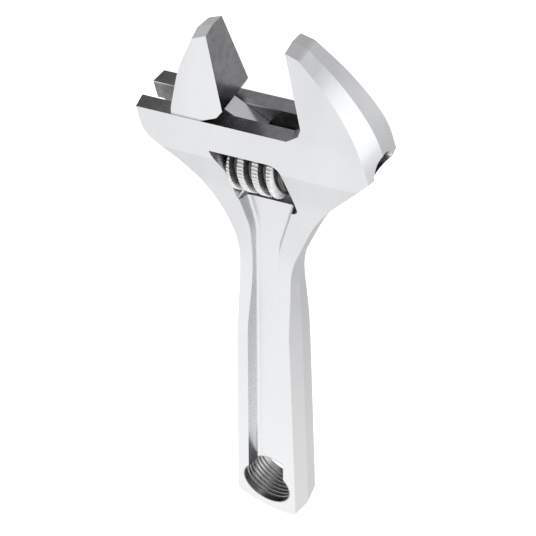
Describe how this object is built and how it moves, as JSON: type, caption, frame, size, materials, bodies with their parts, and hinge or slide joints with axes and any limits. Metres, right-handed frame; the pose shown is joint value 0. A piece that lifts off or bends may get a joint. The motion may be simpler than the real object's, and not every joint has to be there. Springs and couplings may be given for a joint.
{
  "type": "adjustable wrench",
  "caption": "Open-end wrench with a sliding hook jaw set by a knurled worm, a tapered head turned to the handle, a recessed handle and a hang hole.",
  "frame": {"origin": "centre of the hang hole at mid thickness", "axes": "+Y along the handle from the hang hole to the head, +Z the thickness towards the front face, +X to the fixed jaw's side"},
  "size_m": [0.0734, 0.2051, 0.0154],
  "materials": {
    "forged_chrome": "satin",
    "jaw_chrome": "satin",
    "worm_steel": "satin, knurled crests",
    "pin_steel": "turned",
    "spring_steel": "drawn wire"
  },
  "bodies": {
    "wrench_body": {"body": "forged_chrome", "worm_pin": "pin_steel", "tension_spring": "spring_steel"},
    "sliding_jaw": {"hook_jaw": "jaw_chrome"},
    "worm_screw": {"worm": "worm_steel"}
  },
  "joints": [
    {"name": "jaw_slide", "type": "slide", "parent": "wrench_body", "child": "sliding_jaw", "axis": [0.9659, 0.2588, 0], "range_m": [-0.0131, 0.0249]},
    {"name": "worm_spin", "type": "hinge", "parent": "wrench_body", "child": "worm_screw", "pos_m": [-0.00357, 0.13751, 0], "axis": [0.9659, 0.2588, 0], "range_deg": [-1910, 1006]}
  ],
  "couplings": [
    {"joint": "worm_spin", "follows": "jaw_slide", "rad_per_m": -1336.8}
  ]
}
